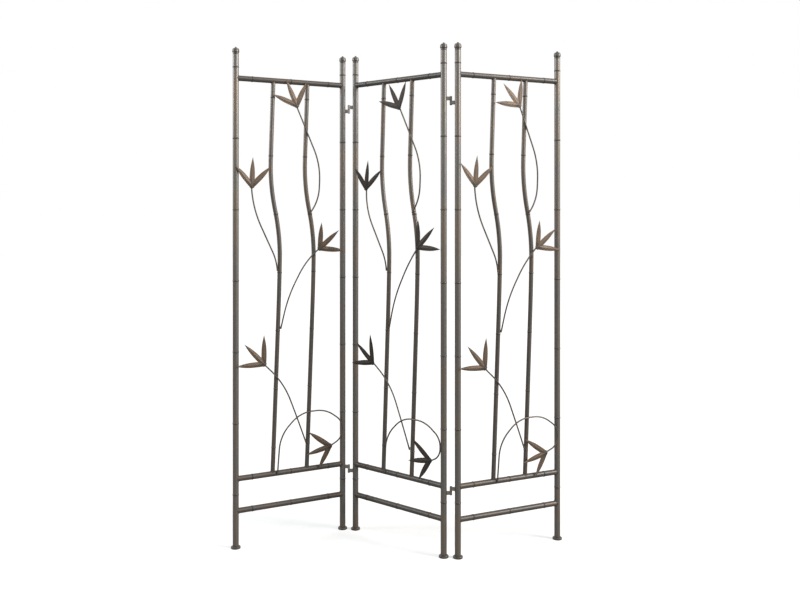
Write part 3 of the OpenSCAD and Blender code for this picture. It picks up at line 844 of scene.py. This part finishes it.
arm = bpy.context.object
arm.name = "hinge_arm_shape"
arm.scale = (arm_end - arm_start, arm_t, arm_h)
fix_place()
bpy.ops.object.mode_set(mode="EDIT")
bpy.ops.mesh.select_all(action="SELECT")
bpy.ops.mesh.subdivide(number_cuts=3)
for share, thickness, height in ((0, 1.25, 1.03), (0.25, 0.92, 1), (0.5, 0.8, 0.985),
                                 (0.75, 0.8, 0.985)):
    x = arm_start + share * (arm_end - arm_start)
    choose(lambda p: abs(p.x - x) < 0.1 * mm)
    bpy.ops.transform.resize(value=(1, thickness, height), center_override=(x, 0, 0))
bpy.ops.object.mode_set(mode="OBJECT")
apply_modifier(arm, "BEVEL", width=0.9 * mm, segments=2, limit_method="ANGLE",
               angle_limit=math.radians(50))
apply_modifier(arm, "BOOLEAN", object=knuckle, operation="UNION", solver="EXACT")
smooth(arm)
put_away(knuckle)
print("hinge arm faces", len(arm.data.polygons))

# %% [markdown]
# The arms go to their posts: the middle panel's knuckle lies over its neighbour's at the
# upper hinge and under it at the lower one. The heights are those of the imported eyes.

# %% Hinges on the posts
hinge_z = [235 * mm, 1622.5 * mm]
knuckle_gap = 0.4 * mm
steel = iron_finish("hinge_iron", (0.18, 0.168, 0.152), (0.19, 0.162, 0.135), grime_and_shade,
                    patch_scale=60.0, streaks=0.3, metallic=0.6, roughness=0.42)
for panel in panels:
    places = []
    for post_x, spot in pin_spot[panel].values():
        turn = math.atan2(spot.y, spot.x - post_x)
        for level, z in enumerate(hinge_z):
            above = (level == 1) == (panel == "middle_panel")
            shift = (knuckle_h + knuckle_gap) / 2 * (1 if above else -1)
            places.append(panel_frame[panel] @ Matrix.Translation((post_x, 0, z + shift))
                          @ Matrix.Rotation(turn, 4, "Z"))
    set_down(f"{panel}_forged_hinge_eyes", arm, places, steel, panel,
             f"{panel}_hinge_eyes")
put_away(arm)
print("hinges at", [round(z, 4) for z in hinge_z])

# %% Hinge pins
pin_reach, head_play = knuckle_gap / 2 + knuckle_h, 0.4 * mm
under = pin_reach + head_play
head_r, head_h = 4 * mm, 1.5 * mm
pin_shape = lathe("pin_shape", [
    (0, -under - head_h), (head_r - 1.8 * mm, -under - head_h + 0.15 * mm),
    (head_r - 0.4 * mm, -under - 0.9 * mm), (head_r, -under - 0.5 * mm), (head_r, -under),
    (pin_r, -under), (pin_r, pin_reach), (head_r, pin_reach), (head_r, pin_reach + 0.5 * mm),
    (head_r - 0.4 * mm, pin_reach + 0.9 * mm),
    (head_r - 1.8 * mm, pin_reach + head_h - 0.15 * mm), (0, pin_reach + head_h)], steps=32)
places = []
for _, spot in pin_spot["middle_panel"].values():
    for level, z in enumerate(hinge_z):
        # The pin is a little longer at the side panel's eye, which is under the middle
        # panel's at the upper hinge and over it at the lower one
        flip = Matrix.Identity(4) if level == 1 else Matrix.Rotation(math.pi, 4, "X")
        places.append(panel_frame["middle_panel"]
                      @ Matrix.Translation((spot.x, spot.y, z)) @ flip)
pin_steel = iron_finish("pin_steel", (0.16, 0.15, 0.14), (0.13, 0.11, 0.09), grime_and_shade,
                        patch_scale=90.0, streaks=0.3, metallic=0.85, roughness=0.36)
set_down("turned_hinge_pins", pin_shape, places, pin_steel, "middle_panel",
         "hinge_pins")
put_away(pin_shape)
print("pins", len(places))

# %% [markdown]
# ## Weld beads
# Where two tubes meet, a real screen shows a ring of weld metal, rippled from the welder's
# small steps. The bead follows a saddle, the curve where a small tube meets a larger one.
# A torus is turned to lie round the small tube, and each of its stations is pushed along
# until it lies on the large tube. Every second station is drawn thinner for the ripple.

# %% One saddle bead
def saddle_bead(name, big_r, small_r, bead_r):
    """A bead round the x axis for a tube of small_r that ends on a tube of big_r on z."""
    stations, ring_r = 36, small_r + 0.25 * bead_r
    deselect()
    bpy.ops.mesh.primitive_torus_add(
        major_segments=stations, minor_segments=8, major_radius=ring_r, minor_radius=bead_r,
        rotation=(0, math.pi / 2, 0), location=(0, 0, 0))
    bead = bpy.context.object
    bead.name = name
    fix_place()
    bpy.ops.object.mode_set(mode="EDIT")
    for i in range(stations):
        turn = 2 * math.pi * i / stations
        ray = Vector((0, math.cos(turn), math.sin(turn)))
        choose(lambda p: p.dot(ray) > 0 and abs(p.cross(ray).x) < 0.02 * mm)
        y = ring_r * ray.y
        out = math.sqrt(max(big_r ** 2 - y ** 2, 0)) + 0.1 * bead_r
        bpy.ops.transform.translate(value=(out, 0, 0))
        thick = (0.86, 1.08)[i % 2] + random.uniform(-0.05, 0.05)
        bpy.ops.transform.resize(value=(thick, thick, thick),
                                 center_override=(out, y, ring_r * ray.z))
    bpy.ops.object.mode_set(mode="OBJECT")
    apply_modifier(bead, "SUBSURF", levels=1, render_levels=1)
    smooth(bead, 80)
    return bead


rail_r, stalk_r, wire_r = 10 * mm, 8 * mm, 2.7 * mm
rail_z = [135 * mm, 252 * mm, 1715 * mm]  # lower foot rail, upper foot rail, top rail
rail_bead = saddle_bead("rail_bead_shape", post_r, rail_r, 1.4 * mm)
stalk_bead = saddle_bead("stalk_bead_shape", rail_r, stalk_r, 1.2 * mm)
print("bead faces", len(rail_bead.data.polygons))

# %% [markdown]
# A wire is only tacked to its cane, by a small lump of weld metal that shows on both sides
# of it. The lump starts as a sphere that is pressed flat on one side and pinched in the
# middle, and it is drawn long where it is set down.

# %% One tack
deselect()
bpy.ops.mesh.primitive_uv_sphere_add(segments=18, ring_count=12, radius=1)
tack = bpy.context.object
tack.name = "tack_shape"
bpy.ops.object.mode_set(mode="EDIT")
choose(lambda p: p.z < -0.2)
bpy.ops.transform.resize(value=(1.12, 1.12, 0.45), center_override=(0, 0, -0.2))
for x, pinch in ((0.0, 0.9), (0.5, 1.07), (-0.5, 1.07), (0.78, 0.82), (-0.78, 0.86)):
    choose(lambda p: abs(p.x - x) < 0.16)
    bpy.ops.transform.resize(value=(1, pinch, pinch), center_override=(x, 0, 0))
bpy.ops.object.mode_set(mode="OBJECT")
apply_modifier(tack, "SUBSURF", levels=1, render_levels=1)
smooth(tack, 80)
print("tack faces", len(tack.data.polygons))

# %% [markdown]
# Now the beads and tacks go to their places. On each panel there are six beads on the
# rails, four on the canes, a tack at each tendril's root, and one where a tendril crosses
# a cane or the post.

# %% Beads on the rails and canes
left_stalk_x, stalk_gap = 142 * mm, 135 * mm
# How far right the canes stand on each panel
stalk_shift = (-2 * mm, 0, 3 * mm)
# A cane's middle at the foot rail and at the top rail, right of its own place
stalk_foot_x, stalk_top_x = 0.3 * mm, 2.7 * mm
for i, panel in enumerate(panels):
    rail_places, cane_places = [], []
    for z in rail_z:
        rail_places.append(panel_frame[panel] @ Matrix.Translation((0, 0, z)))
        rail_places.append(panel_frame[panel] @ Matrix.Translation((panel_w, 0, z))
                           @ Matrix.Rotation(math.pi, 4, "Z"))
    set_down(f"{panel}_rail_welds", rail_bead, rail_places, weld_finish, panel)
    for k in (0, 1):
        place_x = left_stalk_x + stalk_shift[i] + k * stalk_gap
        for x, z, up in ((stalk_foot_x, rail_z[1], 1), (stalk_top_x, rail_z[2], -1)):
            cane_places.append(panel_frame[panel] @ Matrix.Translation((place_x + x, 0, z))
                               @ Matrix.Rotation(-up * math.pi / 2, 4, "Y"))
    set_down(f"{panel}_cane_welds", stalk_bead, cane_places, weld_finish, panel)
put_away(rail_bead, stalk_bead)
print("beads on", len(panels), "panels")

# %% Tacks on the tendrils
tack_half_w, tack_h = 3.4 * mm, 2 * mm
# Each tack on the middle panel: x, y and z of the wire's middle, the wire's turn from the x
# axis, how far right of the wire the other tube's middle is, its distance behind the wire,
# the tack's half length, and whether it follows the canes' shift; in millimetres and degrees
tacks = [
    (291.3, -10.75, 1228.2, 50, -3.1, 10.75, 5.5, True),
    (158.8, -3.97, 1011.2, 97, 10.04, 3.97, 5.5, True),
    (173.8, -3.97, 794.2, 76, -10.04, 3.97, 5.5, True),
    (269.9, -5.13, 360.2, 110, 9.5, 5.13, 5.5, True),
    (155.3, -12.8, 254.0, 86, 0, 12.8, 6.0, False),
    (156.4, -10.8, 621.0, 135, 0, 10.8, 5.0, True),
    (305.4, -10.8, 1061.9, 41, 0, 10.8, 5.0, True),
    (416.0, -11.89, 390.0, 90, 7.0, 11.89, 6.5, False),
]
for i, panel in enumerate(panels):
    places = []
    for x, y, z, turn, right, behind, half, follows in tacks:
        away = Vector((right, behind, 0)).normalized()
        along = Vector((math.cos(math.radians(turn)), 0, math.sin(math.radians(turn))))
        along = (along - along.dot(away) * away).normalized()
        contact = Vector((x, y, z)) * mm + wire_r * away
        if follows:
            contact.x += stalk_shift[i]
        axes = Matrix((along, (-away).cross(along), -away)).transposed().to_4x4()
        places.append(panel_frame[panel] @ Matrix.Translation(contact) @ axes
                      @ Matrix.Diagonal((half * mm, tack_half_w, tack_h, 1)))
    set_down(f"{panel}_tacks", tack, places, weld_finish, panel)
put_away(tack)
print("tacks", len(tacks) * len(panels))

# %% [markdown]
# ## The box and the end
# Both boxes, the imported model's and the dressed one's, are kept side by side. The
# looks must not change the object's size, so both boxes are kept side by side.

# %% Sizes
low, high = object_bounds()
growth = [round((a - b) / mm, 2) for a, b in zip(high - low, cad_high - cad_low)]
print("box grew by", growth, "mm")
